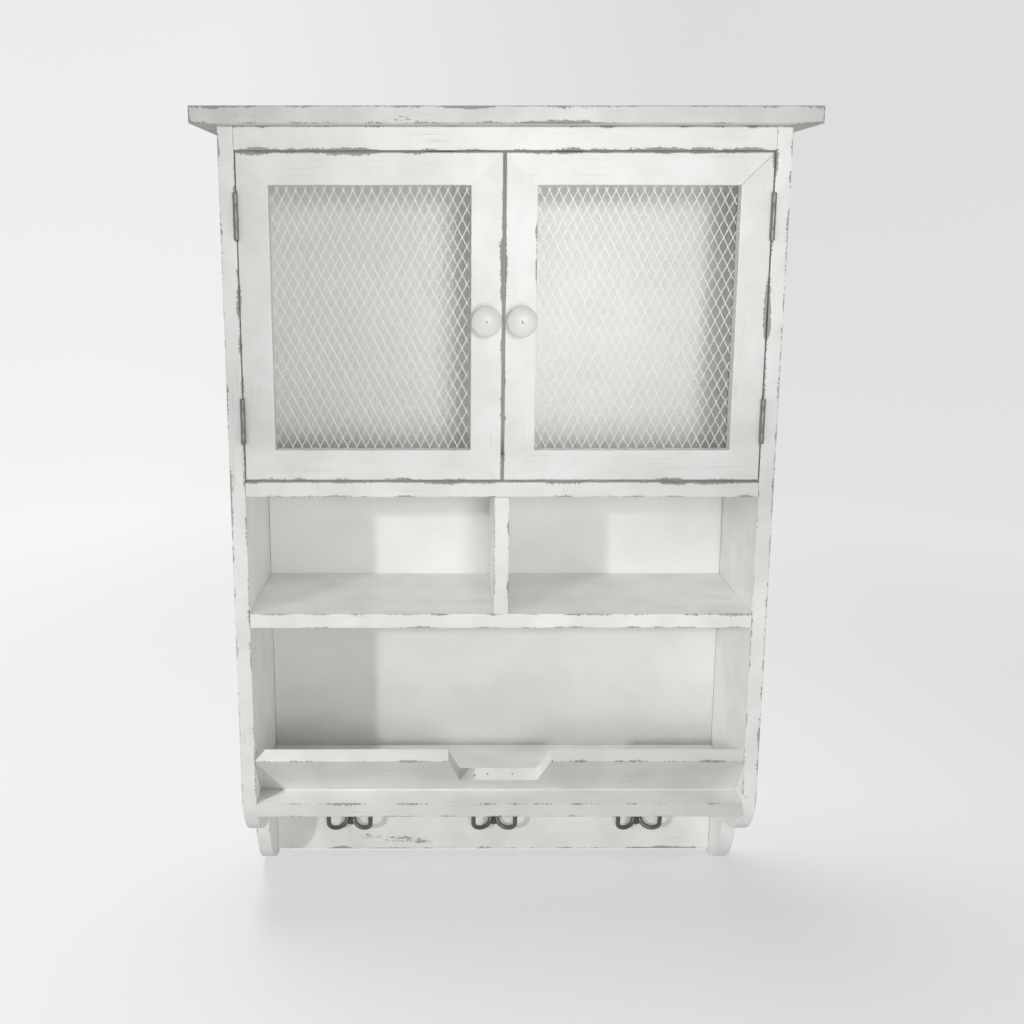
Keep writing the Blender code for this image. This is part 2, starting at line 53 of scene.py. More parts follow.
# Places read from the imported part
FRONT_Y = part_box("top_rail")[0].y
BACK_FACE_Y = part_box("back_panel")[0].y
SHELF_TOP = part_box("bottom_shelf")[1].z
SHELF_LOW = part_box("bottom_shelf")[0].z
DOOR_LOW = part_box("right_door_bottom_rail")[0].z
DOOR_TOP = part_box("right_door_top_rail")[1].z
FLOOR_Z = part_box("left_side_panel")[0].z
SIDE_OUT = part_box("right_side_panel")[1].x
DOOR_SHELF_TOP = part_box("door_shelf")[1].z
CORNICE_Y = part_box("cornice_board")[0].y
RAIL_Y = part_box("hook_rail")[0].y
SHELVES = ("door_shelf", "cubby_shelf", "bottom_shelf")
# Edges further than this inside a door's outline are its window's
FRAME_INSET = 20 * MM
DOOR_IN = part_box("right_door_meeting_stile")[0].x + FRAME_INSET
DOOR_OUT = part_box("right_door_hinge_stile")[1].x - FRAME_INSET
# The tray front slopes down and back from its top edge
TRAY_LEAN = math.radians(36.0)
TRAY_DOWN = Vector((0, math.sin(TRAY_LEAN), -math.cos(TRAY_LEAN)))
TRAY_BACK = Vector((0, math.cos(TRAY_LEAN), math.sin(TRAY_LEAN)))
TRAY_RISE = 48 * MM
TRAY_TOP = Vector((0, FRONT_Y, SHELF_TOP + TRAY_RISE))
TRAY_THICKNESS = 15 * MM
NOTCH_DEPTH = 39 * MM

# Boards: eased edges, and rows of points that carry the wear
BOARD_EASE = 0.55 * MM
CORNICE_EASE = 1.0 * MM
EDGE_ROWS = (1.1 * MM, 2.7 * MM, 5.8 * MM)
GRID = 10 * MM
FINE_GRID = 5 * MM
# Faces that wander, and dents along the edges where the noise is over a start
WANDER_DEPTH = 0.10 * MM
WANDER_SIZE = 40 * MM
DENT_DEPTH = 0.22 * MM
DENT_SIZE = 9 * MM
DENT_START = 0.05
DENT_EDGE_MM = 2.0
# The mitres are filled, but the one at the right door's upper outer corner has opened
MITRE_GAP = 0.05 * MM
MITRE_FILL = 0.11 * MM
OPEN_MITRE_X = DOOR_OUT - 30 * MM
OPEN_MITRE_Z = DOOR_TOP - 60 * MM

# What the paint reads at each point, painted shade among them
WEAR_AND_SHADE_LAYERS = ("edge_mm", "patch", "scuff", "painted_shade", "board")
# How many mm further off an edge counts, by how it is worn
# A thin grey line along an edge, partly wear and partly painted shade
WORN_AND_SHADED_LINE = -0.5
MOST_WORN = 0.0
STILE_WORN = 0.9
FOOT_WORN = 1.2
WINDOW_WORN = 2.0
SCARCELY_WORN = 3.0
UNWORN = 30.0
NAIL_WORN = 1.2
KNOB_WORN = 3.4
# How deep a place's wear goes, and how near the front or a worn and shaded line an edge has to be
PLACE_DEPTH = 8 * MM
FRONT_DEPTH = 3 * MM
LINE_REACH = 2 * MM
# Edges drawn with a thin grey line along their whole length: partly rubbed wear, partly painted shade at the arris
WORN_AND_SHADED_LINES = [
    (CORNICE_Y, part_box("cornice_board")[1].z),
    (FRONT_Y, SHELF_TOP),
    (RAIL_Y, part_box("hook_rail")[0].z),
]
# Places rubbed harder than the rest: x, y, z in metres, radius across and up in mm, strength
WORN_PLACES = [
    (-0.003, FRONT_Y, -0.093, 6, 9, 0.8),
    (-0.001, FRONT_Y, -0.112, 6, 14, 1.0),
    (0.000, FRONT_Y, -0.132, 5, 7, 0.8),
    (-0.145, FRONT_Y, -0.0035, 26, 5, 0.75),
    (-0.237, FRONT_Y, -0.003, 14, 4, 0.6),
    (-0.237, FRONT_Y, 0.001, 12, 4, 0.6),
    (-0.204, FRONT_Y, 0.001, 9, 4, 0.6),
    (-0.161, FRONT_Y, 0.001, 18, 4, 0.6),
    (-0.071, FRONT_Y, 0.001, 10, 3, 0.5),
    (0.061, FRONT_Y, 0.001, 8, 5, 0.8),
    (0.090, FRONT_Y, 0.001, 14, 3, 0.5),
    (0.147, FRONT_Y, 0.001, 16, 4, 0.6),
    (0.185, FRONT_Y, 0.001, 12, 4, 0.5),
    (0.227, FRONT_Y, 0.001, 14, 4, 0.6),
    (0.0315, FRONT_Y, -0.074, 4, 12, 0.7),
    (0.0315, FRONT_Y, -0.108, 4, 18, 0.9),
    (0.255, FRONT_Y, -0.131, 5, 12, 0.6),
    (0.256, FRONT_Y, -0.160, 6, 20, 0.9),
    (0.258, FRONT_Y, -0.008, 4, 8, 0.7),
    (-0.258, FRONT_Y, -0.140, 4, 12, 0.6),
    (0.198, FRONT_Y, -0.322, 30, 3, 0.45),
    (-0.052, FRONT_Y, -0.322, 20, 3, 0.45),
    (-0.0385, CORNICE_Y, 0.0365, 22, 4, 0.7),
    (-0.268, CORNICE_Y, 0.0365, 12, 4, 0.6),
    (0.050, CORNICE_Y, 0.022, 40, 3, 0.5),
    (-0.184, RAIL_Y, -0.796, 10, 3, 0.3),
    (-0.112, RAIL_Y, -0.796, 16, 3, 0.5),
    (0.200, RAIL_Y, -0.796, 25, 3, 0.6),
]
# Scuffs on the faces, away from their edges, in the same terms
SCUFFS = [
    (-0.172, RAIL_Y, -0.771, 7, 8, 0.6),
    (-0.148, RAIL_Y, -0.781, 20, 4, 0.82),
    (-0.112, RAIL_Y, -0.784, 18, 5, 0.9),
    (-0.088, RAIL_Y, -0.787, 14, 4, 1.0),
    (-0.100, CORNICE_Y, 0.026, 26, 2.4, 0.75),
    (-0.243, CORNICE_Y, 0.029, 18, 3, 0.6),
]


def linear(code):
    """An sRGB hex colour as linear RGBA."""
    channels = [int(code[i : i + 2], 16) / 255 for i in (0, 2, 4)]
    return (*[c / 12.92 if c <= 0.04045 else ((c + 0.055) / 1.055) ** 2.4 for c in channels], 1.0)


def add(tree, kind, inputs=None, **settings):
    """Adds a node. An input takes a value or another node's output."""
    node = tree.nodes.new(kind)
    for key, value in settings.items():
        setattr(node, key, value)
    for socket, value in (inputs or {}).items():
        if isinstance(value, bpy.types.NodeSocket):
            tree.links.new(value, node.inputs[socket])
        else:
            node.inputs[socket].default_value = value
    return node


def material(name, **sockets):
    """A Principled material with these sockets set, its tree and its shader."""
    made = bpy.data.materials.new(name)
    made.use_nodes = True
    shader = made.node_tree.nodes["Principled BSDF"]
    for socket, value in sockets.items():
        shader.inputs[socket.replace("_", " ")].default_value = value
    return made, made.node_tree, shader


def remap(tree, value, low=0.0, high=1.0, to_low=0.0, to_high=1.0, **settings):
    """Maps the range of a value onto another one."""
    return add(tree, "ShaderNodeMapRange", {0: value, 1: low, 2: high, 3: to_low, 4: to_high}, **settings).outputs[0]


def mix(tree, share, first, second):
    """Mixes two colours."""
    return add(tree, "ShaderNodeMix", {0: share, 6: first, 7: second}, data_type="RGBA").outputs[2]


def maths(tree, operation, *values):
    """The result of an operation on these values."""
    return add(tree, "ShaderNodeMath", dict(enumerate(values)), operation=operation).outputs[0]


def mottle(tree, place, size, detail, roughness=0.5):
    """Noise with grains of about this size."""
    inputs = {"Vector": place, "Scale": 1 / size, "Detail": detail, "Roughness": roughness}
    return add(tree, "ShaderNodeTexNoise", inputs).outputs[0]


# Chalk paint, sizes in mm: the coat and its brush marks, its cloudy tone, and grey streaks in rubbed places
COAT_THICKNESS = 0.1
BRUSH_PITCH = 1.2
BRUSH_DEPTH = 0.05
CLOUD_SIZE = 45
FIBRE_PITCH = 2.5
RUBBED_SIZE = 50
# Chips at the edges: how they come and go, how far in they reach at worn places, and their ragged outline
WEAR_SIZE = 26
PATCH_REACH = 4.6
RAGGED_SIZE = 2.2
RAGGED_REACH = 9.0
# Scuffs on the faces: the size of their dashes, and how much a scuff adds to them
DASH_SIZE = 1.5
SCUFF_SHARE = 0.42
# How far patterns are squeezed along the grain, and how far apart two boards' patterns lie
FIBRE_SQUEEZE = 0.04
DASH_SQUEEZE = 0.22
BOARD_SHIFT = (37.1, 59.3, 83.7)
RUBBED_GREY = "A9A7A1"
PINE_DARK = "9A9893"
PINE_LIGHT = "BDBBB5"
# The dark grey that painted shade pulls the coat toward
PAINTED_SHADE_GREY = "5F5C55"
PAINT_ROUGHNESS = 0.38
PINE_ROUGHNESS = 0.8
# How far a plain finish strays from its roughness
SHEEN_SPREAD = 0.12


def worn_chalk_paint(name, grain, coat_low, coat_high, streaks):
    """Brushed white chalk paint over grey-washed pine: matt, streaked along the grain, and rubbed through at the edges
    in ragged chips that show the grey wood."""
    made, tree, shader = material(f"{name}_{grain}_grain", IOR=1.5)
    edge, patch, scuff, painted_shade, board_number = [
        add(tree, "ShaderNodeAttribute", attribute_name=layer).outputs["Fac"] for layer in WEAR_AND_SHADE_LAYERS
    ]
    coords = add(tree, "ShaderNodeTexCoord").outputs["Object"]
    shift = add(tree, "ShaderNodeVectorMath", {0: BOARD_SHIFT, "Scale": board_number}, operation="SCALE").outputs[0]
    in_mm = (1 / MM, 1 / MM, 1 / MM)
    place = add(tree, "ShaderNodeVectorMath", {0: coords, 1: in_mm, 2: shift}, operation="MULTIPLY_ADD").outputs[0]

    def along_grain(share):
        """The place, squeezed along the grain to this share."""
        squeeze = {"level": (share, 1, 1), "upright": (1, 1, share)}[grain]
        return add(tree, "ShaderNodeMapping", {"Vector": place, "Scale": squeeze}).outputs[0]

    # The coat's cloudy tone, with grey streaks along the grain
    clouds = mottle(tree, place, CLOUD_SIZE, 4)
    coat = mix(tree, remap(tree, clouds, 0.35, 0.65), linear(coat_low), linear(coat_high))
    fibres = mottle(tree, along_grain(FIBRE_SQUEEZE), FIBRE_PITCH, 4, 0.65)
    rubbed = mottle(tree, place, RUBBED_SIZE, 1)
    rubbed_level = remap(tree, rubbed, 0.45, 0.75, to_high=streaks)
    streak = maths(tree, "MULTIPLY", remap(tree, fibres, 0.55, 0.75), rubbed_level)
    streaked = mix(tree, streak, coat, linear(RUBBED_GREY))

    # Chips: how far they reach in from an edge, in mm, less the way to it, and their ragged outline
    worn = mottle(tree, place, WEAR_SIZE, 2)
    reach = maths(tree, "MULTIPLY_ADD", patch, PATCH_REACH, remap(tree, worn, 0.4, 0.72, -1.0, 2.0))
    ragged = maths(tree, "SUBTRACT", mottle(tree, place, RAGGED_SIZE, 4, 0.72), 0.5)
    margin = maths(tree, "MULTIPLY_ADD", ragged, RAGGED_REACH, maths(tree, "SUBTRACT", reach, edge))
    dashes = mottle(tree, along_grain(DASH_SQUEEZE), DASH_SIZE, 3, 0.65)
    scuffed = maths(tree, "MULTIPLY_ADD", scuff, SCUFF_SHARE, dashes)
    chip = maths(tree, "MAXIMUM", remap(tree, margin, -0.15, 0.15), remap(tree, scuffed, 0.79, 0.85))
    pine = mix(tree, fibres, linear(PINE_DARK), linear(PINE_LIGHT))
    # Painted shade: points marked with it are mixed toward a dark grey
    colour = mix(tree, painted_shade, mix(tree, chip, streaked, pine), linear(PAINTED_SHADE_GREY))
    tree.links.new(colour, shader.inputs["Base Color"])
    rough = remap(tree, chip, to_low=PAINT_ROUGHNESS, to_high=PINE_ROUGHNESS)
    tree.links.new(rough, shader.inputs["Roughness"])

    # Height of the coat and its brush marks
    strokes = mottle(tree, along_grain(FIBRE_SQUEEZE), BRUSH_PITCH, 2)
    coat_height = remap(tree, chip, to_low=COAT_THICKNESS, to_high=0.0)
    height = maths(tree, "MULTIPLY_ADD", strokes, BRUSH_DEPTH, coat_height)
    bump = add(tree, "ShaderNodeBump", {"Height": height, "Distance": MM, "Strength": 0.8}).outputs[0]
    tree.links.new(bump, shader.inputs["Normal"])
    return made


def plain_finish(name, dark, light, grain_mm, roughness, metallic, pit_mm=0.05):
    """A metal or plastic with a fine mottled tone and slightly uneven surface."""
    made, tree, shader = material(name, Metallic=metallic)
    coords = add(tree, "ShaderNodeTexCoord").outputs["Object"]
    grains = mottle(tree, coords, grain_mm * MM, 3)
    tree.links.new(mix(tree, grains, linear(dark), linear(light)), shader.inputs["Base Color"])
    rough = remap(tree, grains, to_low=roughness - SHEEN_SPREAD, to_high=roughness + SHEEN_SPREAD)
    tree.links.new(rough, shader.inputs["Roughness"])
    bump = add(tree, "ShaderNodeBump", {"Height": grains, "Distance": pit_mm * MM, "Strength": 1.0}).outputs[0]
    tree.links.new(bump, shader.inputs["Normal"])
    return made


# White coats: worn on most boards; hardly worn on the back panel, whose whiter tone is partly painted light for the
# bays; and greyed on the cornice, partly its own tone and partly painted shade
PAINT = {grain: worn_chalk_paint("worn_chalk_paint", grain, "F1F0EC", "FDFCFA", 0.44) for grain in ("level", "upright")}
LIGHTENED_BACK_PAINT = worn_chalk_paint("fresh_lightened_chalk_paint", "upright", "F7F6F3", "FCFCFA", 0.08)
SHADED_CORNICE_PAINT = worn_chalk_paint("greyed_shaded_chalk_paint", "level", "DAD9D5", "EAE9E5", 0.44)
# Sprayed enamel on stretched steel: even, slightly glossy, with a faint grain
ENAMEL = plain_finish("white_enamel_on_mesh", "F4F4F2", "FCFCFB", 3.0, 0.32, 0.0)
# Cast iron, blackened and handled: dark grey, satin, with a sandy skin
IRON = plain_finish("blackened_cast_iron", "55534F", "8C8A86", 1.6, 0.4, 0.75, 0.12)
# Rolled hinge steel, dulled brown-grey
HINGE_STEEL = plain_finish("dulled_hinge_steel", "82817E", "B0AFAC", 4.0, 0.45, 0.6)
# Zinc plated steel: pale bluish grey and bright
ZINC = plain_finish("zinc_plated_steel", "A5A7A8", "C9CACA", 2.5, 0.35, 1.0)
# Moulded ABS of the catches: white with a fine spark-eroded grain
PLASTIC = plain_finish("white_moulded_abs", "DEDDD8", "E8E7E3", 0.8, 0.45, 0.0, 0.02)
# Painted shade of old nail holes: nearly black and dull
NAIL_HOLE_SHADE = plain_finish("nail_hole_painted_shade", "2B2724", "4A433D", 0.6, 0.7, 0.3)


def cad_copy(node):
    """A merged copy of a CAD node's mesh, with its flat faces joined up."""
    bm = bmesh.new()
    bm.from_mesh(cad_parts[node].data)
    bmesh.ops.remove_doubles(bm, verts=bm.verts, dist=1e-6)
    bmesh.ops.dissolve_limit(bm, angle_limit=math.radians(1), verts=bm.verts, edges=bm.edges)
    return bm


def sharp_edges(bm):
    """The edges between faces that meet at more than 30 degrees."""
    return [edge for edge in bm.edges if edge.is_manifold and edge.calc_face_angle() > math.radians(30)]


def is_joint(face, run):
    """Whether a face is a mitre, or the end of a board that runs along this axis and butts against another."""
    mitre = min(abs(face.normal.x), abs(face.normal.z)) > 0.3 and abs(face.normal.y) < 0.1
    return mitre if run is None else abs(face.normal.dot(run)) > 0.9


def round_edges(bm, edges, width, segments=2):
    """Rounds edges off over this width."""
    bmesh.ops.bevel(
        bm, geom=edges, offset=width, segments=segments, profile=0.5, affect="EDGES", material=-1, clamp_overlap=True
    )


def link(name, data):
    """Puts a mesh, a light or a camera into the scene as an object."""
    obj = bpy.data.objects.new(name, data)
    bpy.context.scene.collection.objects.link(obj)
    return obj


def show(bm, name, body, finish, replaced=()):
    """Puts a finished mesh into the scene on its body."""
    mesh = bpy.data.meshes.new(name)
    bm.to_mesh(mesh)
    bm.free()
    stored = mesh.attributes.get("custom_normal")
    if stored:
        mesh.attributes.remove(stored)
    mesh.shade_smooth()
    mesh.set_sharp_from_angle(angle=math.radians(38))
    mesh.materials.append(finish)
    obj = link(name, mesh)
    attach(obj, body)
    if replaced:
        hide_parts(*replaced)
    return obj


def wear_of(start, end, is_door):
    """How many mm an edge counts as further off than it is: the rear and inner arrises are hardly rubbed."""
    run = end - start
    middle = (start + end) / 2
    is_level = abs(run.x) > abs(run.y) + abs(run.z)
    is_front = middle.y < FRONT_Y + FRONT_DEPTH
    is_line = is_level and any(math.hypot(middle.y - y, middle.z - z) < LINE_REACH for y, z in WORN_AND_SHADED_LINES)
    # The right side panel's outer front arris gets the same line, as painted shade of its side face
    if is_line or (middle.x > SIDE_OUT - MM and is_front and middle.z < DOOR_TOP):
        return WORN_AND_SHADED_LINE
    if is_door and is_front:
        between_rails = DOOR_LOW + FRAME_INSET < middle.z < DOOR_TOP - FRAME_INSET
        if between_rails and DOOR_IN < abs(middle.x) < DOOR_OUT:
            return WINDOW_WORN
        return STILE_WORN if abs(run.z) > abs(run.x) else MOST_WORN
    if is_front and middle.z > SHELF_LOW - MM:
        return MOST_WORN
    return FOOT_WORN if middle.z < SHELF_LOW + MM else SCARCELY_WORN


def cut(bm, axis, place, weld=1e-6):
    """Cuts a row of edges through a mesh, this far along an axis."""
    geom = bm.verts[:] + bm.edges[:] + bm.faces[:]
    bmesh.ops.bisect_plane(bm, geom=geom, dist=weld, plane_co=axis * place, plane_no=axis)


def cut_rows(bm, axis, grid):
    """Cuts rows across a board: close together by its faces, then evenly."""
    reach = [vert.co.dot(axis) for vert in bm.verts]
    low, high = min(reach), max(reach)
    places = set()
    if high - low > 2.2 * EDGE_ROWS[-1]:
        for row in EDGE_ROWS:
            places |= {low + row, high - row}
    count = math.floor((high - low) / grid)
    if count > 3:
        inner_low = low + EDGE_ROWS[-1]
        step = (high - low - 2 * EDGE_ROWS[-1]) / count
        places |= {inner_low + step * index for index in range(1, count)}
    for place in sorted(places):
        cut(bm, axis, place)


def share_of(point, places):
    """How much of the strongest of these places a point has."""
    most = 0.0
    for x, y, z, across, up, strength in places:
        if abs(point.y - y) < PLACE_DEPTH:
            off = math.hypot((point.x - x) / across, (point.z - z) / up) / MM
            most = max(most, strength * max(0.0, 1 - off * off / 2))
    return most


def mark_wear(bm, number, edges=None, spare=UNWORN, painted_shade=None):
    """Gives each point its distance from a worn edge, its share in worn places, its painted shade and its board's
    number.
    """
    layers = [bm.verts.layers.float.new(name) for name in WEAR_AND_SHADE_LAYERS]
    for vert in bm.verts:
        nearest = spare
        for start, end, extra in edges or ():
            run = end - start
            share = max(0.0, min(1.0, (vert.co - start).dot(run) / run.length_squared))
            nearest = min(nearest, (vert.co - start - run * share).length / MM + extra)
        painted_shading = painted_shade(vert.co) if painted_shade else 0.0
        values = (nearest, share_of(vert.co, WORN_PLACES), share_of(vert.co, SCUFFS), painted_shading, number)
        for layer, value in zip(layers, values):
            vert[layer] = value


def rub(bm, number):
    """Softens the edges unevenly and lets the faces wander slightly, as in hand-finished boards."""
    edge_mm = bm.verts.layers.float["edge_mm"]
    bm.normal_update()
    mitred = {vert: face.normal.copy() for face in bm.faces if is_joint(face, None) for vert in face.verts}
    moves = []
    for vert in bm.verts:
        if vert in mitred:
            is_open = vert.co.x > OPEN_MITRE_X and vert.co.z > OPEN_MITRE_Z
            moves.append(mitred[vert] * (-MITRE_GAP if is_open else MITRE_FILL))
            continue
        seed = Vector((number * 3.1, number * 7.7, number * 1.3))
        move = WANDER_DEPTH * noise.noise(vert.co / WANDER_SIZE + seed)
        if vert[edge_mm] < DENT_EDGE_MM:
            move -= DENT_DEPTH * max(0.0, noise.noise(vert.co / DENT_SIZE + seed) - DENT_START)
        moves.append(vert.normal * move)
    for vert, move in zip(bm.verts, moves):
        vert.co += move


def board(
    node,
    number,
    grain,
    body="carcass",
    run=None,
    ease=BOARD_EASE,
    axes=(X_AXIS, Y_AXIS, Z_AXIS),
    grid=GRID,
    paint=None,
    painted_shade=None,
):
    """A painted board in place of its CAD node: eased, rubbed, and marked for the paint's wear and any painted shade.
    """
    bm = cad_copy(node)
    sharp = [edge for edge in sharp_edges(bm) if not any(is_joint(face, run) for face in edge.link_faces)]
    worn = [(edge.verts[0].co.copy(), edge.verts[1].co.copy()) for edge in sharp]
    worn = [(start, end, wear_of(start, end, "door_" in node and body != "carcass")) for start, end in worn]
    round_edges(bm, sharp, ease)
    for axis in axes:
        cut_rows(bm, axis, grid)
    if "side_panel" in node:
        # Close rows over the curved foot
        for index in range(1, int((SHELF_TOP - FLOOR_Z) / FINE_GRID)):
            cut(bm, Z_AXIS, FLOOR_Z + index * FINE_GRID)
    bmesh.ops.remove_doubles(bm, verts=bm.verts, dist=5e-6)
    mark_wear(bm, number, worn, painted_shade=painted_shade)
    rub(bm, number)
    return show(bm, f"{node}_painted", body, paint or PAINT[grain], [node])


# Painted shade on the back panel over two shelves, and on the tray's face: how much, and how far up or in
DOOR_SHELF_SHADE = 0.6
DOOR_SHELF_SHADE_RISE = 24 * MM
BOTTOM_SHELF_SHADE = 0.27
BOTTOM_SHELF_SHADE_RISE = 100 * MM
TRAY_FACE_SHADE = 0.02
TRAY_FACE_SHADE_DEPTH = 0.6 * MM
# Points hidden behind the door shelf count as over it
SHADE_START = -12 * MM


def shelf_corner_shade(point):
    """Painted shade on the back panel in the corners over the door shelf and the bottom shelf, darkest at each shelf
    and fading upward.
    """
    if point.y > BACK_FACE_Y + MM:
        return 0.0
    over_door_shelf = point.z - DOOR_SHELF_TOP
    if over_door_shelf > SHADE_START:
        return DOOR_SHELF_SHADE * max(0.0, 1 - over_door_shelf / DOOR_SHELF_SHADE_RISE)
    return BOTTOM_SHELF_SHADE * max(0.0, 1 - (point.z - SHELF_TOP) / BOTTOM_SHELF_SHADE_RISE)


def tray_face_shade(point):
    """A slight painted shade on the sloping face of the tray, unlike its top edge."""
    return TRAY_FACE_SHADE if (point - TRAY_TOP).dot(TRAY_BACK) < TRAY_FACE_SHADE_DEPTH else 0.0


# Carcass boards, each with a number that gives it its own pattern of paint
for number, node in enumerate(("left_side_panel", "right_side_panel")):
    board(node, number, "upright")
board("back_panel", 2, "upright", paint=LIGHTENED_BACK_PAINT, painted_shade=shelf_corner_shade)
for number, node in enumerate(("hanging_rail", "top_rail", "door_shelf", "cubby_shelf", "bottom_shelf")):
    board(node, 3 + number, "level", run=X_AXIS)
board("cubby_divider", 8, "upright", run=Z_AXIS)
board("hook_rail", 10, "level", run=X_AXIS, grid=FINE_GRID)
board("cornice_board", 11, "level", ease=CORNICE_EASE, paint=SHADED_CORNICE_PAINT)
board("tray_front", 12, "level", run=X_AXIS, axes=(X_AXIS, TRAY_DOWN, TRAY_BACK), painted_shade=tray_face_shade)

# Door frames
for side_number, side in enumerate(SIDES):
    for number, (member, grain) in enumerate(
        {"top_rail": "level", "bottom_rail": "level", "hinge_stile": "upright", "meeting_stile": "upright"}.items()
    ):
        board(f"{side}_door_{member}", 20 + 4 * side_number + number, grain, f"{side}_door")


def extrude(bm, faces):
    """Carries faces on, leaving none of them inside a solid. Gives the new points and faces."""
    edges = dict.fromkeys(edge for face in faces for edge in face.edges)
    raised = bmesh.ops.extrude_face_region(bm, geom=[*faces, *edges])["geom"]
    return [[item for item in raised if isinstance(item, kind)] for kind in (bmesh.types.BMVert, bmesh.types.BMFace)]


def sweep(bm, path, width, thickness, sides, across=Y_AXIS, swell=None):
    """A bar of this width and thickness carried through the points of a path."""
    flat = 0.5 / math.cos(math.pi / sides)
    level = Matrix.Rotation(math.pi / sides, 4, "Z")
    verts = bmesh.ops.create_circle(bm, cap_ends=True, segments=sides, radius=flat, matrix=level)["verts"]
    faces = [verts[0].link_faces[0]]
    last = Matrix.Identity(4)
    for index, point in enumerate(path):
        before = path[max(index - 1, 0)]
        after = path[min(index + 1, len(path) - 1)]
        tangent = (after - before).normalized()
        side = tangent.cross(across).normalized()
        normal = side.cross(tangent)
        grow = swell[index] if swell else 1.0
        turn = Matrix((side * width * grow, normal * thickness * grow, tangent)).transposed().to_4x4()
        place = Matrix.Translation(point) @ turn
        if index:
            verts, faces = extrude(bm, faces)
        bmesh.ops.transform(bm, matrix=place @ last.inverted(), verts=verts)
        last = place
    bmesh.ops.recalc_face_normals(bm, faces=bm.faces)


def lathe(bm, line, axis, steps, centre=(0, 0, 0), closed=True, weld=1e-6):
    """A line of points turned about an axis, with its open ends closed or left open."""
    points = [bm.verts.new(point) for point in line]
    edges = [bm.edges.new(pair) for pair in zip(points, points[1:])]
    bmesh.ops.spin(bm, geom=points + edges, cent=centre, axis=axis, angle=math.tau, steps=steps, use_merge=True)
    bmesh.ops.remove_doubles(bm, verts=bm.verts, dist=weld)
    if closed:
        bmesh.ops.holes_fill(bm, edges=[edge for edge in bm.edges if edge.is_boundary], sides=0)
    bmesh.ops.recalc_face_normals(bm, faces=bm.faces)


def upright_plate(bm, middle, width, height):
    """The points of a flat face that looks forward."""
    verts = bmesh.ops.create_grid(bm, x_segments=1, y_segments=1, size=0.5)["verts"]
    turn = Matrix.Rotation(math.pi / 2, 4, "X")
    size = Matrix.Diagonal((width, height, 1, 1))
    bmesh.ops.transform(bm, matrix=Matrix.Translation(middle) @ turn @ size, verts=verts)
    return verts


def stand_on(bm, part, centre, out, turn=0.0):
    """Adds a small part to a mesh, so that it stands on a surface that faces out."""
    facing = Z_AXIS.rotation_difference(out).to_matrix().to_4x4() @ Matrix.Rotation(turn, 4, "Z")
    bmesh.ops.transform(part, matrix=Matrix.Translation(centre) @ facing, verts=part.verts)
    sample = bpy.data.meshes.new("sample")
    part.to_mesh(sample)
    part.free()
    bm.from_mesh(sample)
    bpy.data.meshes.remove(sample)


# Diamond mesh of the doors
DIAMOND_WIDTH = 9.2 * MM
DIAMOND_HEIGHT = 17.9 * MM
STRAND_WIDTH = 0.72 * MM
STRAND_THICKNESS = 0.45 * MM
BOND_LENGTH = 0.8 * MM
# How far strands overlap in a bond as a share of their width, and how far they lean out of the sheet
BOND_OVERLAP = 0.3
STRAND_LEAN = 0.25 * MM
# A turn this near the end of a strand is left out
SHORTEST_RUN = 0.01 * MM
# Edge band, and how far inside its outline the strands end
BAND_WIDTH = 7 * MM
BAND_EASE = 0.4 * MM
BAND_LAP = 3 * MM
# How far each sheet sits off the middle of its window
SHEET_OFFSET = {"left": Vector((1.2 * MM, 0, -1.5 * MM)), "right": Vector((-2.1 * MM, 0, -1.5 * MM))}


def strand(half_height, phase):
    """One zigzag strand of the stretched sheet: it meets its neighbours by turns in short upright bonds."""
    rows = math.ceil(2 * half_height / DIAMOND_HEIGHT) + 1
    turns = []
    for row in range(-rows, rows + 1):
        right = (row + phase) % 2
        overlap = BOND_OVERLAP * STRAND_WIDTH
        x = DIAMOND_WIDTH / 2 - overlap if right else overlap
        for end in (-0.5, 0.5):
            z = row * DIAMOND_HEIGHT / 2 + end * BOND_LENGTH
            turns.append(Vector((x, -STRAND_LEAN if right else STRAND_LEAN, z)))
    path = []
    for before, after in zip(turns, turns[1:]):
        for limit in (-half_height, half_height):
            if before.z < limit < after.z:
                path.append(before.lerp(after, (limit - before.z) / (after.z - before.z)))
        if abs(after.z) < half_height - SHORTEST_RUN:
            path.append(after)
    return path


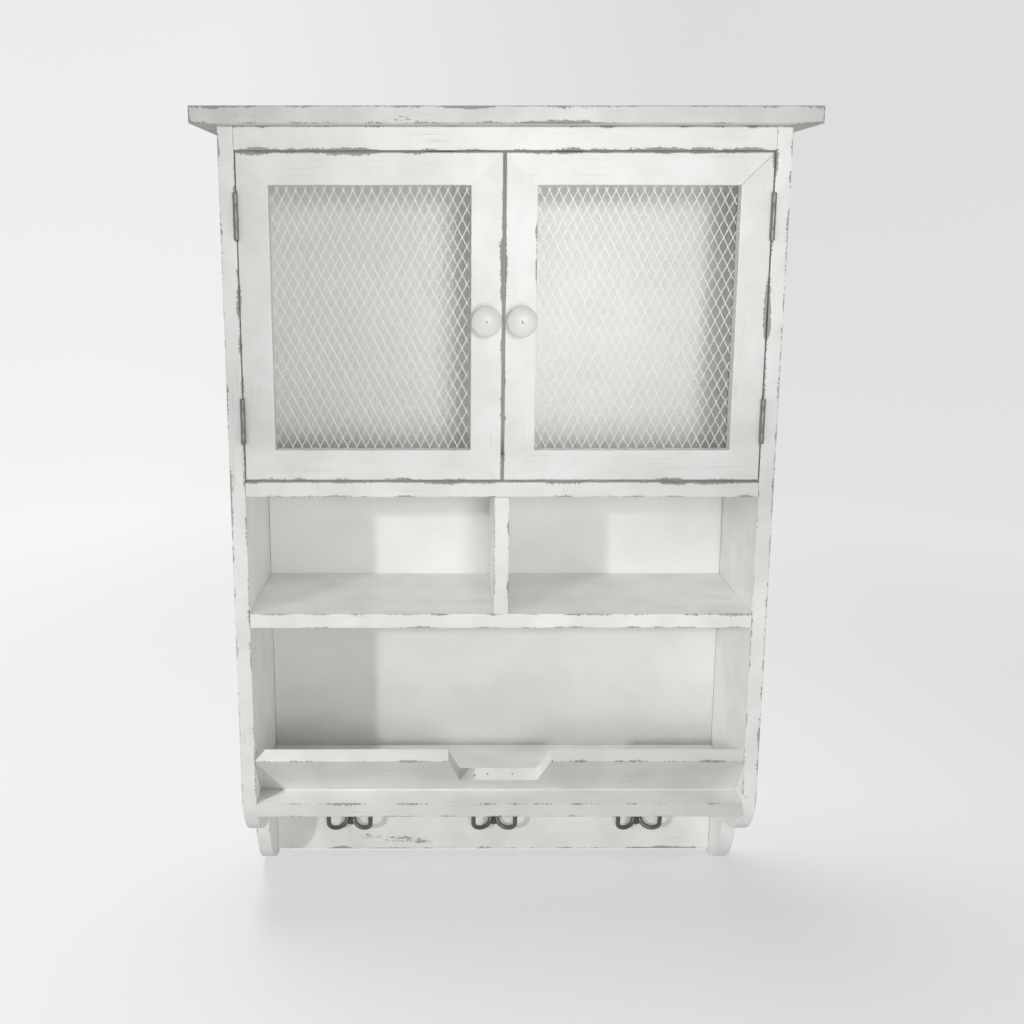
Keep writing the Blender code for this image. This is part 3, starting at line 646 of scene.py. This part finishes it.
def door_mesh(side):
    """Stretched sheet of a door: zigzag strands in two alternating phases, and an edge band behind the frame."""
    low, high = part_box(f"{side}_door_mesh")
    centre = (low + high) / 2
    half_width = (high.x - low.x) / 2
    half_height = (high.z - low.z) / 2
    bm = bmesh.new()
    offset = SHEET_OFFSET[side]
    step = DIAMOND_WIDTH / 2
    columns = math.ceil(half_width / step)
    for phase in (0, 1):
        single = bmesh.new()
        sweep(single, strand(half_height - BAND_LAP, phase), STRAND_WIDTH, STRAND_THICKNESS, 4)
        sample = bpy.data.meshes.new("strand")
        single.to_mesh(sample)
        single.free()
        for column in range(-columns, columns):
            left = offset.x + column * step
            if (column + phase) % 2 or min(left, -left - step) < -half_width + MM:
                continue
            first = len(bm.verts)
            bm.from_mesh(sample)
            bm.verts.ensure_lookup_table()
            bmesh.ops.translate(bm, verts=bm.verts[first:], vec=centre + offset + X_AXIS * column * step)
        bpy.data.meshes.remove(sample)
    # Folded edge band that lies on the back of the frame
    sheet = upright_plate(bm, Vector((centre.x, low.y, centre.z)), 2 * half_width, 2 * half_height)
    face = sheet[0].link_faces[0]
    rim = bmesh.ops.inset_individual(bm, faces=[face], thickness=BAND_WIDTH, use_even_offset=True)["faces"]
    bmesh.ops.delete(bm, geom=[face], context="FACES")
    walls = bmesh.ops.solidify(bm, geom=rim, thickness=high.y - low.y)["geom"]
    band = [item for item in walls if isinstance(item, bmesh.types.BMFace)] + rim
    corners = dict.fromkeys(edge for part in band for edge in part.edges if edge.calc_face_angle(0) > 1)
    round_edges(bm, list(corners), BAND_EASE)
    bmesh.ops.recalc_face_normals(bm, faces=bm.faces)
    show(bm, f"{side}_door_diamond_mesh", f"{side}_door", ENAMEL, [f"{side}_door_mesh"])


for side in SIDES:
    door_mesh(side)


# Knobs: shares of the radius, and of the length from the door to the face
KNOB_PROFILE = [
    # Foot and neck
    (0.61, 0.0), (0.61, 0.05), (0.585, 0.085), (0.52, 0.13), (0.495, 0.2), (0.495, 0.33), (0.56, 0.405),
    # Head, to its rim
    (0.74, 0.45), (0.89, 0.51), (0.975, 0.58), (1.0, 0.645), (1.0, 0.73), (0.985, 0.79), (0.95, 0.835),
    # A fine turned line, and the face
    (0.925, 0.85), (0.91, 0.846), (0.895, 0.86), (0.8, 0.905), (0.6, 0.955), (0.35, 0.988), (0.12, 1.0), (0.0, 1.0),
]
KNOB_STEPS = 48
# The pip lies on the face, which starts at this share of the length
KNOB_FACE = 0.9
PIP_RADIUS = 3.5 * MM
KNOB_NUMBER = 31


def knob(side, number):
    """Turned mushroom knob with a slightly flattened face and a worn pip at its centre."""
    low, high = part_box(f"{side}_door_knob")
    centre = Vector(((low.x + high.x) / 2, high.y, (low.z + high.z) / 2))
    radius = (high.x - low.x) / 2
    length = high.y - low.y
    bm = bmesh.new()
    line = [centre + Vector((across * radius, -along * length, 0)) for across, along in KNOB_PROFILE]
    lathe(bm, line, Y_AXIS, KNOB_STEPS, centre)
    mark_wear(bm, number, spare=KNOB_WORN)
    scuff = bm.verts.layers.float["scuff"]
    for vert in bm.verts:
        off = math.hypot(vert.co.x - centre.x, vert.co.z - centre.z)
        if vert.co.y < centre.y - KNOB_FACE * length:
            vert[scuff] = max(0.0, 1 - off / PIP_RADIUS)
    show(bm, f"{side}_door_knob_turned", f"{side}_door", PAINT["upright"], [f"{side}_door_knob"])


for side, sign in SIDES.items():
    knob(side, KNOB_NUMBER + sign)


# Screw heads: half the slot's width as a share of the radius, its depth and the eased rim as shares of the rise
SLOT_HALF = 0.14
SLOT_DEPTH = 0.7
HEAD_EASE = 0.6
HEAD_SIDES = 20


def screw_head(bm, centre, out, radius, rise, slot_turn):
    """A slotted screw head that stands on a surface facing out."""
    part = bmesh.new()
    foot = bmesh.ops.create_circle(part, cap_ends=True, segments=HEAD_SIDES, radius=radius)["verts"]
    top, _ = extrude(part, [foot[0].link_faces[0]])
    bmesh.ops.translate(part, verts=top, vec=Z_AXIS * rise)
    bmesh.ops.recalc_face_normals(part, faces=part.faces)
    rim = [edge for edge in part.edges if all(vert in top for vert in edge.verts)]
    round_edges(part, rim, rise * HEAD_EASE)
    for shift in (-SLOT_HALF, SLOT_HALF):
        cut(part, X_AXIS, shift * radius, weld=1e-7)
    groove = [
        face
        for face in part.faces
        if face.normal.z > 0.9 and abs(face.calc_center_median().x) < SLOT_HALF * radius
    ]
    sunk, _ = extrude(part, groove)
    bmesh.ops.translate(part, verts=sunk, vec=Z_AXIS * -rise * SLOT_DEPTH)
    stand_on(bm, part, centre, out, slot_turn)


# Double hooks: the plate and its screws
PLATE_WIDTH = 12.5 * MM
PLATE_HEIGHT = 44 * MM
PLATE_THICKNESS = 3 * MM
PLATE_ROUND = 6.2 * MM
PLATE_EASE = 0.9 * MM
PLATE_SCREWS = ((37 * MM, 0.5), (25 * MM, 1.9))
PLATE_SCREW_RADIUS = 3.2 * MM
PLATE_SCREW_RISE = 1.3 * MM
# The arms: their start beside the plate's middle, their bend, their tips, and how far forward they reach
HOOK_WIRE = 5.1 * MM
HOOK_SIDES = 14
ARM_INSET = 3.7 * MM
ARM_TOP = 7 * MM
ARM_STEPS = 22
ARM_FORWARD = 21 * MM
BEND_RISE = 9.7 * MM
BEND_DROP = 0.9
TIP_RISES = (5 * MM, 9 * MM, 12.5 * MM, 13.6 * MM, 14 * MM)
TIP_SWELL = (0.96, 0.72, 0.3)


def hook(place):
    """Cast double hook: a round-ended plate with two arms that bend out and up, and two screws."""
    node = f"hook_{place}"
    low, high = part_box(node)
    centre_x = (low.x + high.x) / 2
    plate_low = high.z - PLATE_HEIGHT
    plate_front = high.y - PLATE_THICKNESS
    bm = bmesh.new()
    plate = upright_plate(bm, Vector((centre_x, high.y, plate_low + PLATE_HEIGHT / 2)), PLATE_WIDTH, PLATE_HEIGHT)
    front, _ = extrude(bm, [plate[0].link_faces[0]])
    bmesh.ops.translate(bm, verts=front, vec=Y_AXIS * -PLATE_THICKNESS)
    ends = [edge for edge in bm.edges if abs(edge.verts[0].co.y - edge.verts[1].co.y) > MM]
    round_edges(bm, ends, PLATE_ROUND, 8)
    bmesh.ops.recalc_face_normals(bm, faces=bm.faces)
    rim = [edge for edge in sharp_edges(bm) if edge.verts[0].co.y < plate_front + MM]
    round_edges(bm, rim, PLATE_EASE, 3)
    reach = (high.x - low.x - HOOK_WIRE) / 2
    bend = (reach - ARM_INSET) / 2
    path = [Vector((ARM_INSET, 0, ARM_TOP))]
    for step in range(ARM_STEPS + 1):
        angle = math.pi * step / ARM_STEPS
        path.append(Vector((ARM_INSET + bend * (1 - math.cos(angle)), 0, -BEND_DROP * bend * math.sin(angle))))
    path += [Vector((reach, 0, rise)) for rise in TIP_RISES]
    swell = [1.0] * (len(path) - len(TIP_SWELL)) + [*TIP_SWELL]
    for sign in SIDES.values():
        arm = []
        for index, point in enumerate(path):
            forward = ARM_FORWARD * (index / (len(path) - 1)) ** 1.2
            arm.append(Vector((centre_x + sign * point.x, plate_front - forward, plate_low + BEND_RISE + point.z)))
        sweep(bm, arm, HOOK_WIRE, HOOK_WIRE, HOOK_SIDES, swell=swell)
    for rise, slot_turn in PLATE_SCREWS:
        centre = Vector((centre_x, plate_front, plate_low + rise))
        screw_head(bm, centre, -Y_AXIS, PLATE_SCREW_RADIUS, PLATE_SCREW_RISE, slot_turn)
    show(bm, f"{node}_cast", "carcass", IRON, [node])


for place in ("left", "middle", "right"):
    hook(place)


def refined(node, body, finish, ease):
    """A small fitting in place of its CAD node, with its edges eased."""
    bm = cad_copy(node)
    round_edges(bm, sharp_edges(bm), ease)
    return show(bm, f"{node}_fitted", body, finish, [node])


# Hinges, catches, strikes and knob screws
LEAF_EASE = 0.12 * MM
PIN_EASE = 0.25 * MM
CATCH_EASE = 0.5 * MM
STRIKE_EASE = 0.25 * MM
SCREW_EASE = 0.2 * MM
for side in SIDES:
    body = f"{side}_door"
    for place in ("upper", "lower"):
        refined(f"{side}_{place}_hinge_frame_leaf", "carcass", HINGE_STEEL, LEAF_EASE)
        refined(f"{side}_{place}_hinge_pin", "carcass", HINGE_STEEL, PIN_EASE)
        refined(f"{body}_{place}_hinge_leaf", body, HINGE_STEEL, LEAF_EASE)
    refined(f"{side}_catch", "carcass", PLASTIC, CATCH_EASE)
    refined(f"{body}_strike", body, ZINC, STRIKE_EASE)
    refined(f"{body}_knob_screw", body, ZINC, SCREW_EASE)

# Paint bead in the corner between the tray face and the bottom shelf
BEAD_WIDTH = 2.6 * MM
BEAD_STEPS = 60
BEAD_SWELL = 0.12
BEAD_NUMBER = 40
tray_low, tray_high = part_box("tray_front")
bead_y = tray_high.y - TRAY_THICKNESS / math.cos(TRAY_LEAN)
bead_start = Vector((tray_low.x, bead_y, SHELF_TOP))
bead_end = Vector((tray_high.x, bead_y, SHELF_TOP))
bm = bmesh.new()
sweep(
    bm,
    [bead_start.lerp(bead_end, index / BEAD_STEPS) for index in range(BEAD_STEPS + 1)],
    BEAD_WIDTH,
    BEAD_WIDTH,
    12,
    across=Z_AXIS,
    swell=[1 + BEAD_SWELL * noise.noise(X_AXIS * index * 0.7) for index in range(BEAD_STEPS + 1)],
)
mark_wear(bm, BEAD_NUMBER)
show(bm, "tray_paint_bead", "carcass", PAINT["level"])

# Nails and nail holes: a head's profile in shares of its radius and rise, and each kind's radius and rise
NAIL_PROFILE = ((1.0, -0.3), (1.0, 0.3), (0.9, 0.62), (0.6, 0.9), (0.0, 1.0))
NAIL_STEPS = 14
SIDE_NAIL = (1.5 * MM, 0.25 * MM)
BACK_NAIL = (1.6 * MM, 0.4 * MM)
OLD_NAIL_HOLE = (0.8 * MM, 0.12 * MM)
SIDE_NAIL_PLACES = (-0.132, -0.085, -0.038)
PAINTED_NAIL_NUMBER = 41
BACK_NAIL_ROWS = 8
BACK_NAIL_COLUMNS = 5
BACK_NAIL_INSET_X = 5 * MM
BACK_NAIL_INSET_Z = 10 * MM
# Places of the old nail holes: x in metres, and mm back from the tray's face
OLD_NAIL_HOLE_PLACES = ((-0.0255, 6.0), (-0.0115, 7.5), (0.0150, 7.5))


def dome(bm, centre, out, radius, rise):
    """A driven nail's head, slightly crowned; the old nail holes use it too, as dark domes."""
    part = bmesh.new()
    lathe(part, [(across * radius, 0, up * rise) for across, up in NAIL_PROFILE], Z_AXIS, NAIL_STEPS)
    stand_on(bm, part, centre, out)


# Painted-over nail heads where the shelves meet the sides, and two on the front arrises
bm = bmesh.new()
for sign in SIDES.values():
    for node in SHELVES:
        low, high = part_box(node)
        for y in SIDE_NAIL_PLACES:
            dome(bm, Vector((sign * SIDE_OUT, y, (low.z + high.z) / 2)), X_AXIS * sign, *SIDE_NAIL)
dome(bm, Vector((0.2604, FRONT_Y, -0.6604)), -Y_AXIS, 2.4 * MM, 0.7 * MM)
dome(bm, Vector((-0.2635, FRONT_Y, -0.6249)), -Y_AXIS, 1.4 * MM, 0.25 * MM)
mark_wear(bm, PAINTED_NAIL_NUMBER, spare=NAIL_WORN)
show(bm, "painted_nail_heads", "carcass", PAINT["upright"])

# Nails round the back panel and into the shelves
bm = bmesh.new()
low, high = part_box("back_panel")
for row in range(BACK_NAIL_ROWS):
    z = low.z + BACK_NAIL_INSET_Z + (high.z - low.z - 2 * BACK_NAIL_INSET_Z) * row / (BACK_NAIL_ROWS - 1)
    for x in (low.x + BACK_NAIL_INSET_X, high.x - BACK_NAIL_INSET_X):
        dome(bm, Vector((x, high.y, z)), Y_AXIS, *BACK_NAIL)
for node in SHELVES:
    shelf_low, shelf_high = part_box(node)
    for column in range(1, BACK_NAIL_COLUMNS):
        x = low.x + (high.x - low.x) * column / BACK_NAIL_COLUMNS
        dome(bm, Vector((x, high.y, (shelf_low.z + shelf_high.z) / 2)), Y_AXIS, *BACK_NAIL)
show(bm, "back_panel_nails", "carcass", ZINC)

# Three old nail holes in the notch of the tray, drawn as low near-black heads of painted shade
bm = bmesh.new()
for x, back in OLD_NAIL_HOLE_PLACES:
    dome(bm, TRAY_TOP + TRAY_DOWN * NOTCH_DEPTH + TRAY_BACK * back * MM + X_AXIS * x, -TRAY_DOWN, *OLD_NAIL_HOLE)
show(bm, "notch_nail_hole_shades", "carcass", NAIL_HOLE_SHADE)

# Staples over the mesh's edge band: their bars' half lengths at the bends, their legs and their wire
STAPLE_INSET = 3.5 * MM
STAPLE_BENDS = (-4.4 * MM, -4.0 * MM, 0, 4.0 * MM, 4.4 * MM)
STAPLE_HALF = 4.5 * MM
STAPLE_LEG = 1.5 * MM
STAPLE_PROUD = 0.35 * MM
STAPLE_WIDTH = 0.9 * MM
STAPLE_THICKNESS = 0.7 * MM
# How far the outer staples along the rails lie from the corners, and where those along the stiles lie
RAIL_STAPLE = 55 * MM
STILE_STAPLES = (0.2, 0.4, 0.6, 0.8)
# Hinge screws: the middle of the gap that holds the leaves, and places on a leaf
HINGE_GAP_X = 0.25675
HINGE_SCREW_OFF = 0.15 * MM
HINGE_SCREW_BACK = 5.5 * MM
HINGE_SCREW_SHARES = (-0.3, 0.3)
HINGE_SCREW_RADIUS = 2.3 * MM
HINGE_SCREW_RISE = 0.1 * MM


def staples(side):
    """Staples along the four edges of a door's mesh, each across its edge band."""
    low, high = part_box(f"{side}_door_mesh")
    centre = (low + high) / 2
    spots = [(x, z, False) for x in (low.x + RAIL_STAPLE, centre.x, high.x - RAIL_STAPLE) for z in (low.z, high.z)]
    spots += [(x, low.z + (high.z - low.z) * share, True) for x in (low.x, high.x) for share in STILE_STAPLES]
    bm = bmesh.new()
    for x, z, on_stile in spots:
        inward = Vector((centre.x - x, 0, 0)) if on_stile else Vector((0, 0, centre.z - z))
        middle = Vector((x, high.y, z)) + inward.normalized() * STAPLE_INSET
        along = X_AXIS if on_stile else Z_AXIS
        path = [middle - along * STAPLE_HALF - Y_AXIS * STAPLE_LEG]
        path += [middle + along * bend + Y_AXIS * STAPLE_PROUD for bend in STAPLE_BENDS]
        path.append(middle + along * STAPLE_HALF - Y_AXIS * STAPLE_LEG)
        sweep(bm, path, STAPLE_WIDTH, STAPLE_THICKNESS, 8, across=Z_AXIS if on_stile else X_AXIS)
    show(bm, f"{side}_door_staples", f"{side}_door", ZINC)


for side, sign in SIDES.items():
    staples(side)
    for body, outward in (("carcass", 1), (f"{side}_door", -1)):
        bm = bmesh.new()
        for place in ("upper", "lower"):
            node = f"{side}_{place}_hinge_frame_leaf" if outward > 0 else f"{side}_door_{place}_hinge_leaf"
            low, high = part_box(node)
            x = sign * (HINGE_GAP_X + outward * HINGE_SCREW_OFF)
            for share in HINGE_SCREW_SHARES:
                z = (low.z + high.z) / 2 + share * (high.z - low.z)
                centre = Vector((x, high.y - HINGE_SCREW_BACK, z))
                facing = X_AXIS * -sign * outward
                screw_head(bm, centre, facing, HINGE_SCREW_RADIUS, HINGE_SCREW_RISE, 0.3 + 2 * share)
        show(bm, f"{side}_{'frame' if outward > 0 else 'door'}_hinge_screws", body, ZINC)

# Camera at the photograph's place
camera = bpy.data.cameras.new("camera")
camera.lens = 44.34
camera.sensor_width = 36
camera.shift_x = 0.0609
eye = link("camera", camera)
eye.location = (-0.0543, -1.4046, -0.0782)
eye.rotation_euler = (math.radians(90 - 12.41), 0, math.radians(-0.08))
bpy.context.scene.camera = eye

# Pale studio floor that sweeps up all round, in metres
SWEEP_FLAT = 2.4
SWEEP_RADIUS = 1.6
SWEEP_TOP = 3.4
SWEEP_STEPS = 16
FLOOR_GAP = 1 * MM
bm = bmesh.new()
profile = [(0.0, 0.0), (SWEEP_FLAT, 0.0)]
for step in range(1, SWEEP_STEPS + 1):
    angle = math.pi / 2 * step / SWEEP_STEPS
    profile.append((SWEEP_FLAT + SWEEP_RADIUS * math.sin(angle), SWEEP_RADIUS * (1 - math.cos(angle))))
profile.append((SWEEP_FLAT + SWEEP_RADIUS, SWEEP_TOP))
line = [(radius, 0, FLOOR_Z - FLOOR_GAP + height) for radius, height in profile]
lathe(bm, line, Z_AXIS, 96, closed=False, weld=1e-5)
bmesh.ops.reverse_faces(bm, faces=bm.faces)
sweep_mesh = bpy.data.meshes.new("studio_sweep")
bm.to_mesh(sweep_mesh)
bm.free()
sweep_mesh.shade_smooth()
floor = link("studio_sweep", sweep_mesh)
# Matt paper, lit a little from behind, that also glows with painted light: brighter to the left and further off, and
# darker near the object as painted shade
paper, tree, shader = material("matt_glowing_studio_paper", Roughness=0.9, Specular_IOR_Level=0.0)
spot = add(tree, "ShaderNodeTexCoord").outputs["Object"]
paper_x = add(tree, "ShaderNodeSeparateXYZ", {0: spot}).outputs["X"]
away = add(tree, "ShaderNodeVectorMath", {0: spot}, operation="LENGTH").outputs["Value"]
across = remap(tree, paper_x, -0.9, 0.9, 1.09, 0.89)
painted_glow = remap(tree, away, 1.1, 2.4, 0.5, 0.64, interpolation_type="SMOOTHSTEP")
tree.links.new(maths(tree, "MULTIPLY", painted_glow, across), shader.inputs["Emission Strength"])
shader.inputs["Emission Color"].default_value = linear("FFFFFF")
shader.inputs["Base Color"].default_value = linear("A0A0A0")
sweep_mesh.materials.append(paper)
floor.visible_diffuse = False
floor.visible_glossy = False
floor.visible_shadow = False


def hang(name, light, place, target):
    """Hangs a light at a place and turns it to a target."""
    lamp = link(name, light)
    lamp.location = place
    lamp.rotation_euler = (Vector(target) - Vector(place)).to_track_quat("-Z", "Y").to_euler()
    return lamp


def softbox(name, place, target, size, power):
    """A round soft light."""
    light = bpy.data.lights.new(name, "AREA")
    light.shape = "DISK"
    light.size = size
    light.energy = power
    return hang(name, light, place, target)


def spotlight(name, place, target, degrees, power, blend=0.7, size=0.12):
    """A light with a cone of this many degrees, soft at its rim."""
    light = bpy.data.lights.new(name, "SPOT")
    light.energy = power
    light.spot_size = math.radians(degrees)
    light.spot_blend = blend
    light.shadow_soft_size = size
    return hang(name, light, place, target)


def share_light(lamp, pieces, state):
    """Lets a light reach only these pieces, or all but them."""
    group = bpy.data.collections.new(f"{lamp.name}_pieces")
    for piece in pieces:
        group.objects.link(bpy.data.objects[piece])
    for member in group.collection_objects:
        member.light_linking.link_state = state
    lamp.light_linking.receiver_collection = group


PAPER = ["studio_sweep"]
TRAY_PIECES = ["tray_front_painted", "bottom_shelf_painted", "tray_paint_bead"]
# Direction and strength of a hard key from the left front, and power of the other lights
KEY_BEAM = Vector((120, 158, -54))
KEY_STRENGTH = 0.77
FRONT_AXIS = 5.6
SNOOT = 22.5
WINDOW_SNOOT = 18.5
TRAY_KEY = 14.0
OVERHEAD = 52.0
REAR_FILL = 27.0
FILL_SIZE = 0.6
# Strength of a pale tent round the object, by the side that it lights from
TENT = {"Z+": 0.3, "Z-": 0.5, "Y-": 0.08, "X+": 0.24, "X-": 0.3}
MIDDLE = Vector((0, -0.08, -0.4))
# Flag in the key's beam: how far up the beam it stands, its width and its height
FLAG_DISTANCE = 2.2
FLAG_WIDTH = 1.6
FLAG_HEIGHT = 0.9

sun = bpy.data.lights.new("key", "SUN")
sun.energy = KEY_STRENGTH
sun.angle = 0.05
share_light(hang("key", sun, (0, 0, 0), KEY_BEAM), PAPER, "EXCLUDE")
front_axis = softbox("front_axis", (0.15, -1.7, -0.25), MIDDLE, 0.5, FRONT_AXIS)
share_light(front_axis, TRAY_PIECES, "EXCLUDE")
rear = softbox("rear_fill", (1.3, 1.5, 0.5), MIDDLE, 1.2, REAR_FILL)
share_light(rear, PAPER, "EXCLUDE")
# The paper has a light of its own from above
overhead = softbox("overhead", (-0.4, 0.3, 2.0), (0, -0.1, FLOOR_Z), 1.4, OVERHEAD)
share_light(overhead, PAPER, "INCLUDE")
# A narrower front light on the doors
spotlight("snoot", (0.2, -1.7, 0.1), (0.04, -0.08, -0.02), 32, SNOOT)
# A second one reaches only the back panel, through the right door's mesh
window = spotlight("window_snoot", (0.16, -1.7, 0.05), (0.1, BACK_FACE_Y, -0.175), 12, WINDOW_SNOOT)
share_light(window, ["back_panel_painted"], "INCLUDE")
# Weak fills reach into the bays
for name, place, target, power, piece in (
    ("left_wall_fill", (1.0, -0.8, -0.4), (-0.2575, -0.08, -0.4), 2.2, "left_side_panel_painted"),
    ("right_wall_fill", (-1.0, -0.8, -0.35), (0.2575, -0.08, -0.35), 1.8, "right_side_panel_painted"),
    ("shelf_fill", (0.0, -1.0, 0.6), (0.0, -0.1, -0.46), 2.6, "cubby_shelf_painted"),
):
    share_light(softbox(name, place, target, FILL_SIZE, power), [piece], "INCLUDE")
# A steep one from the left picks out the tray
tray_key = spotlight("tray_key", (-0.7, -0.715, 0.08), (-0.17, -0.15, -0.63), 50, TRAY_KEY, 1.0, 0.02)
share_light(tray_key, TRAY_PIECES, "INCLUDE")

# A flag far up the key's beam, which keeps it off the mesh doors
beam = KEY_BEAM.normalized()
flag_foot = Vector((0, FRONT_Y, DOOR_SHELF_TOP)) - beam * FLAG_DISTANCE
turn = (-beam).to_track_quat("Z", "Y").to_matrix().to_4x4()
bm = bmesh.new()
bmesh.ops.create_grid(bm, x_segments=2, y_segments=2, size=0.5)
bmesh.ops.transform(bm, matrix=turn @ Matrix.Diagonal((FLAG_WIDTH, FLAG_HEIGHT, 1, 1)), verts=bm.verts)
bmesh.ops.translate(bm, verts=bm.verts, vec=flag_foot + Z_AXIS * FLAG_HEIGHT / 2)
flag_mesh = bpy.data.meshes.new("key_flag")
bm.to_mesh(flag_mesh)
bm.free()
flag = link("key_flag", flag_mesh)
flag.visible_camera = False
flag_mesh.materials.append(paper)

# Tent
world = bpy.data.worlds.new("studio_tent")
world.use_nodes = True
tree = world.node_tree
aim = add(tree, "ShaderNodeSeparateXYZ", {0: add(tree, "ShaderNodeTexCoord").outputs["Generated"]})
total = 0.0
for part, strength in TENT.items():
    sign = 1 if part[1] == "+" else -1
    total = maths(tree, "MULTIPLY_ADD", remap(tree, aim.outputs[part[0]], 0.0, sign), strength, total)
tree.links.new(total, tree.nodes["Background"].inputs["Strength"])
tree.nodes["Background"].inputs["Color"].default_value = (1, 1, 1, 1)
bpy.context.scene.world = world
bpy.context.scene.view_settings.view_transform = "Standard"
